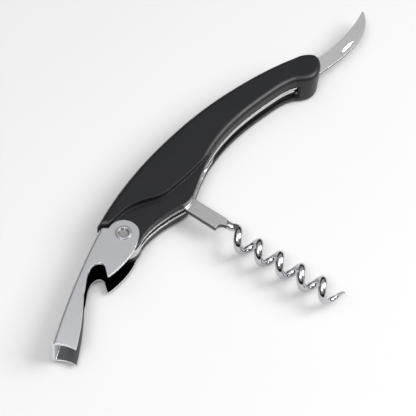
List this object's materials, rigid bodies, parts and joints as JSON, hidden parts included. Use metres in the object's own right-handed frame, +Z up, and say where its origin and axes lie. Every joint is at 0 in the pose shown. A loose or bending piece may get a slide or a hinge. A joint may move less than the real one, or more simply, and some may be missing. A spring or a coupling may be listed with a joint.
{
  "type": "lever corkscrew",
  "caption": "Folding lever corkscrew: curved two-scale handle, hinged boot lever with cap-lifter notch, hinged wire worm and hinged foil blade.",
  "frame": {"origin": "on the flat rear face of the handle, below the middle of its length, where the closed tool lies", "axes": "+X along the handle towards the foil blade, +Y towards the curved back of the handle, +Z up from the rear face to the front face"},
  "size_m": [0.2176, 0.0965, 0.015],
  "materials": {
    "scale_plastic": "satin moulded, charcoal",
    "liner_steel": "ground edges",
    "spacer_steel": "ground edges",
    "spring_steel": "ground edge",
    "bush_brass": "turned",
    "pin_steel": "turned",
    "lever_steel": "satin, bright edges",
    "ring_steel": "polished",
    "shank_steel": "satin",
    "worm_chrome": "polished",
    "blade_steel": "satin"
  },
  "bodies": {
    "handle": {"front_scale": "scale_plastic", "rear_scale": "scale_plastic", "front_liner": "liner_steel", "rear_liner": "liner_steel", "lever_spacer": "spacer_steel", "back_spacer": "spacer_steel", "worm_spring": "spring_steel", "lever_bush": "bush_brass", "worm_pin": "pin_steel", "blade_pin": "pin_steel", "blade_washers": "bush_brass", "liner_rivets": "pin_steel", "spacer_rivets": "pin_steel", "front_studs": "pin_steel", "rear_studs": "pin_steel"},
    "lever": {"boot_lever": "lever_steel", "lever_rivet": "pin_steel", "rivet_rings": "ring_steel"},
    "worm": {"worm_shank": "shank_steel", "worm": "worm_chrome"},
    "blade": {"foil_blade": "blade_steel"}
  },
  "joints": [
    {"name": "lever_hinge", "type": "hinge", "parent": "handle", "child": "lever", "pos_m": [-0.05994, -0.00907, 0.0075], "axis": [0, 0, 1], "range_deg": [0, 100]},
    {"name": "worm_hinge", "type": "hinge", "parent": "handle", "child": "worm", "pos_m": [-0.0296, -0.013, 0.0075], "axis": [0, 0, 1], "range_deg": [0, 85]},
    {"name": "blade_hinge", "type": "hinge", "parent": "handle", "child": "blade", "pos_m": [0.0565, -0.0075, 0.0075], "axis": [0, 0, 1], "range_deg": [0, 160]}
  ]
}
